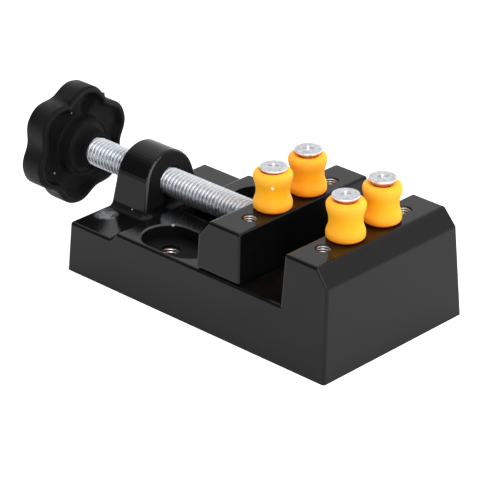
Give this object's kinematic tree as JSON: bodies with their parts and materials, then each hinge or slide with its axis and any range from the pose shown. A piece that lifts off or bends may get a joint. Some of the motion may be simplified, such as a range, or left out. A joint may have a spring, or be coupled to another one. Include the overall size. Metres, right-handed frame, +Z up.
{
  "type": "drill press vise",
  "caption": "Small drill press vise: a cast base, a sliding jaw drawn by a star-knob lead screw, and waisted clamping pegs on top of both jaws.",
  "frame": {"origin": "middle of the whole footprint, on the bench", "axes": "+X from the knob to the fixed jaw, along the lead screw; +Y across the jaws; +Z up"},
  "size_m": [0.144, 0.063, 0.0511],
  "materials": {
    "black_paint": "gloss black paint on a casting",
    "black_plastic": "semi-matt moulded black",
    "yellow_plastic": "glossy orange-yellow moulding",
    "zinc_plate": "bright zinc plate",
    "plain_steel": "plain bright steel"
  },
  "bodies": {
    "base": {"base": "black_paint", "peg_screw_fixed_front": "zinc_plate", "peg_screw_fixed_back": "zinc_plate"},
    "jaw": {"moving_jaw": "black_paint", "retaining_pin_front": "plain_steel", "retaining_pin_back": "plain_steel", "guide_plate": "plain_steel", "spring_washer": "plain_steel", "guide_screw": "zinc_plate", "peg_screw_moving_front": "zinc_plate", "peg_screw_moving_back": "zinc_plate"},
    "screw": {"lead_screw": "zinc_plate", "star_knob": "black_plastic"},
    "moving_front_peg": {"peg_moving_front": "yellow_plastic"},
    "moving_back_peg": {"peg_moving_back": "yellow_plastic"},
    "fixed_front_peg": {"peg_fixed_front": "yellow_plastic"},
    "fixed_back_peg": {"peg_fixed_back": "yellow_plastic"}
  },
  "joints": [
    {"name": "jaw_slide", "type": "slide", "parent": "base", "child": "jaw", "axis": [1, 0, 0], "range_m": [-0.0389, 0.0165]},
    {"name": "screw_turn", "type": "hinge", "parent": "jaw", "child": "screw", "pos_m": [-0.04, 0, 0.02495], "axis": [1, 0, 0], "range_deg": [-9340, 3965]},
    {"name": "moving_front_peg_turn", "type": "hinge", "parent": "jaw", "child": "moving_front_peg", "pos_m": [0.02927, -0.008, 0.0361], "axis": [0, 0, 1], "continuous": true},
    {"name": "moving_back_peg_turn", "type": "hinge", "parent": "jaw", "child": "moving_back_peg", "pos_m": [0.02927, 0.008, 0.0361], "axis": [0, 0, 1], "continuous": true},
    {"name": "fixed_front_peg_turn", "type": "hinge", "parent": "base", "child": "fixed_front_peg", "pos_m": [0.05908, -0.008, 0.0361], "axis": [0, 0, 1], "continuous": true},
    {"name": "fixed_back_peg_turn", "type": "hinge", "parent": "base", "child": "fixed_back_peg", "pos_m": [0.05908, 0.008, 0.0361], "axis": [0, 0, 1], "continuous": true}
  ],
  "couplings": [
    {"joint": "screw_turn", "follows": "jaw_slide", "rad_per_m": 4188.8}
  ]
}
